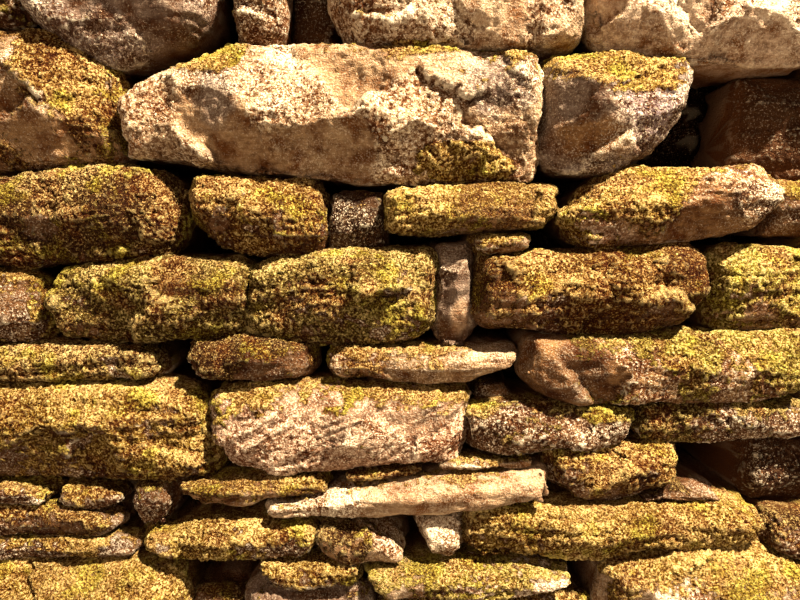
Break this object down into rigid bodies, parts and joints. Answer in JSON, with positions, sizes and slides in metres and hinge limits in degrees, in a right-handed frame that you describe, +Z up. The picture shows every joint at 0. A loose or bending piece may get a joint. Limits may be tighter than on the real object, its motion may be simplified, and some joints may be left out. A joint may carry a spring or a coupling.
{
  "type": "dry stone wall",
  "caption": "Free-standing dry stone wall of rough mossy fieldstone, double skinned with battered faces, stacked square ends and an upright cope.",
  "frame": {"origin": "on the ground, under the middle of the wall", "axes": "+X along the wall, +Y through the wall from the front face to the back face, +Z up"},
  "size_m": [2, 0.718, 1.37],
  "materials": {
    "wall_stone": "rough, weathered",
    "cope_stone": "rough, weathered",
    "packing_stone": "rough, broken"
  },
  "bodies": {
    "root": {"back_course_1": "wall_stone", "back_course_10": "wall_stone", "back_course_2": "wall_stone", "back_course_3": "wall_stone", "back_course_4": "wall_stone", "back_course_5": "wall_stone", "back_course_6": "wall_stone", "back_course_7": "wall_stone", "back_course_8": "wall_stone", "back_course_9": "wall_stone", "back_footing": "wall_stone", "back_pinnings": "wall_stone", "cope_stones": "cope_stone", "front_course_1": "wall_stone", "front_course_10": "wall_stone", "front_course_2": "wall_stone", "front_course_3": "wall_stone", "front_course_4": "wall_stone", "front_course_5": "wall_stone", "front_course_6": "wall_stone", "front_course_7": "wall_stone", "front_course_8": "wall_stone", "front_course_9": "wall_stone", "front_footing": "wall_stone", "front_pinnings": "wall_stone", "hearting_lower": "packing_stone", "hearting_middle": "packing_stone", "hearting_upper": "packing_stone", "left_head_runners": "wall_stone", "left_head_ties": "wall_stone", "right_head_runners": "wall_stone", "right_head_ties": "wall_stone", "through_stones": "wall_stone"}
  },
  "joints": []
}
